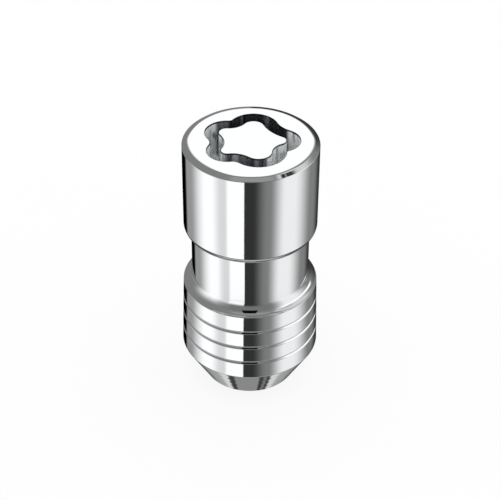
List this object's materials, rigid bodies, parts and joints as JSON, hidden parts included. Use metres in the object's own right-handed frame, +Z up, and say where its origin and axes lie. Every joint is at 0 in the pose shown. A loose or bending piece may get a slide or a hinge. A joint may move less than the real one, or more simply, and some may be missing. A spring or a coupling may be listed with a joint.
{
  "type": "locking wheel nut",
  "caption": "One-piece chrome wheel nut with a lobed key groove in its round head, a neck, a ringed body, a cone seat and a blind threaded bore for the stud.",
  "frame": {"origin": "centre of the foot's bottom plane, on the axis, where the nut stands", "axes": "+Z up the nut's axis to the key face, -Y the front in the picture, +X to the right"},
  "size_m": [0.0186, 0.0186, 0.037],
  "materials": {
    "chrome_plate": "polished chrome plate on steel"
  },
  "bodies": {
    "root": {"lock_nut": "chrome_plate"}
  },
  "joints": []
}
